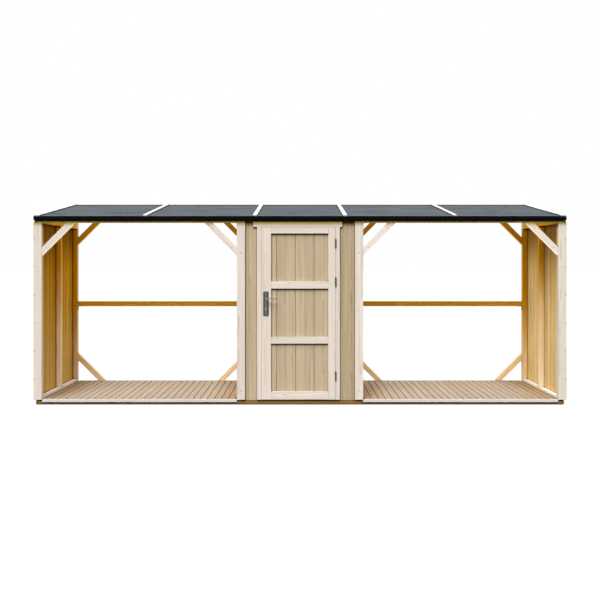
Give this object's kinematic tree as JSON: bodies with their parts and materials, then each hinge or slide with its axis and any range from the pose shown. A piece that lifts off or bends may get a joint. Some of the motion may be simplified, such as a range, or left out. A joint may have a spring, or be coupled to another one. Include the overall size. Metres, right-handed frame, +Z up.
{
  "type": "log store",
  "caption": "Long timber log store: open slatted-floor bays each side of a closed cupboard with a hinged door, under one low sloping felt roof with battens.",
  "frame": {"origin": "on the ground, under the centre of the whole object's bounding box", "axes": "+X along the length, to the right as seen from the front; +Y towards the back; +Z up"},
  "size_m": [5.5, 1.178, 2.174],
  "materials": {
    "planed_timber": "planed, untreated",
    "frame_timber": "planed, untreated",
    "cladding": "planed, untreated",
    "deck_timber": "sawn",
    "treated_timber": "pressure treated, sawn",
    "pale_batten": "pale, planed",
    "dark_fascia": "wrapped in black felt",
    "edge_strip": "pale, satin",
    "roof_felt": "mineral felt",
    "steel": "zinc plated",
    "handle_metal": "satin, grey"
  },
  "bodies": {
    "root": {"angle_brackets": "steel", "back_braces": "planed_timber", "back_cover_boards": "planed_timber", "back_header": "frame_timber", "back_mid_rails": "frame_timber", "back_risers": "frame_timber", "bearers": "treated_timber", "corner_boards": "planed_timber", "cupboard_back_boards": "cladding", "cupboard_back_rails": "frame_timber", "cupboard_front_boards": "cladding", "cupboard_front_studs": "frame_timber", "cupboard_wall_boards_left": "cladding", "cupboard_wall_boards_right": "cladding", "cupboard_wall_plates": "frame_timber", "cupboard_wall_posts": "frame_timber", "deck_boards_cupboard": "deck_timber", "deck_boards_left": "deck_timber", "deck_boards_right": "deck_timber", "deck_edge_strips": "edge_strip", "door_head": "planed_timber", "door_jambs": "planed_timber", "door_top_trim": "planed_timber", "end_wall_boards_left": "cladding", "end_wall_boards_right": "cladding", "end_wall_plates": "frame_timber", "end_wall_posts": "frame_timber", "fascias": "dark_fascia", "front_braces": "planed_timber", "front_cover_boards": "planed_timber", "front_header": "frame_timber", "hinge_pins": "steel", "hinges_on_frame": "steel", "rafters": "frame_timber", "roof_battens": "pale_batten", "roof_boards": "frame_timber", "roof_felt": "roof_felt"},
    "door": {"door_boards": "cladding", "door_stiles": "planed_timber", "door_rails": "planed_timber", "hinges_on_door": "steel", "handle_plates": "handle_metal", "lock_cylinder": "steel"},
    "lever": {"lever_handles": "handle_metal", "spindle": "steel"}
  },
  "joints": [
    {"name": "door_swing", "type": "hinge", "parent": "root", "child": "door", "pos_m": [0.3675, -0.537, 0.9], "axis": [0, 0, 1], "range_deg": [0, 165]},
    {"name": "lever_turn", "type": "hinge", "parent": "door", "child": "lever", "pos_m": [-0.352, -0.531, 1.093], "axis": [0, 1, 0], "range_deg": [0, 45], "stiffness_Nm_per_rad": 1.2, "springref_deg": -20.05}
  ]
}
